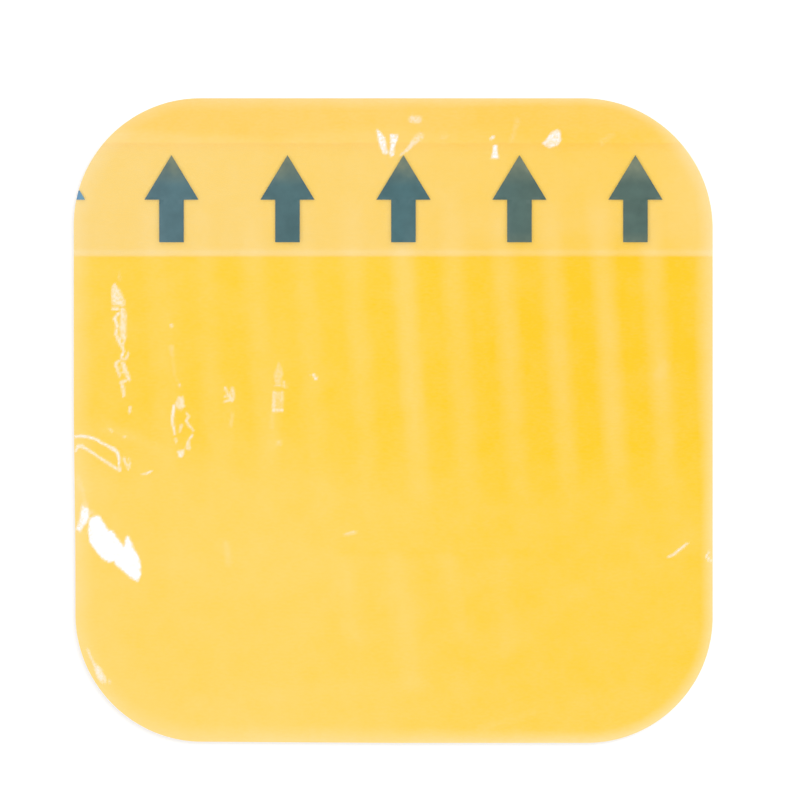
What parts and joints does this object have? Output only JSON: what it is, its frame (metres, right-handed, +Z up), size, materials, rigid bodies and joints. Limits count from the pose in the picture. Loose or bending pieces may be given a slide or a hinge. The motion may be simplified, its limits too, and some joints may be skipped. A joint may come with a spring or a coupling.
{
  "type": "hydrocolloid dressing",
  "caption": "Square hydrocolloid wound dressing with rounded corners, a thin rim, clear release liners and a row of printed arrows on the pull tab.",
  "frame": {"origin": "on the table, under the middle of the dressing's outline, at the underside of the backing film", "axes": "+Z up through the release liner, +Y the way the arrows point, +X to the right with the arrows pointing away"},
  "size_m": [0.1, 0.101, 0.0016],
  "materials": {
    "polyurethane_film": "thin semi-clear polyurethane film over the golden sheet",
    "hydrocolloid": "golden-yellow translucent hydrocolloid",
    "clear_film": "clear glossy siliconised release film",
    "blue_ink": "blue print on clear film"
  },
  "bodies": {
    "root": {"backing_film": "polyurethane_film", "hydrocolloid_sheet": "hydrocolloid", "main_release_liner": "clear_film", "tab_release_liner": "clear_film", "printed_arrow_1": "blue_ink", "printed_arrow_2": "blue_ink", "printed_arrow_3": "blue_ink", "printed_arrow_4": "blue_ink", "printed_arrow_5": "blue_ink", "printed_arrow_6": "blue_ink"}
  },
  "joints": []
}
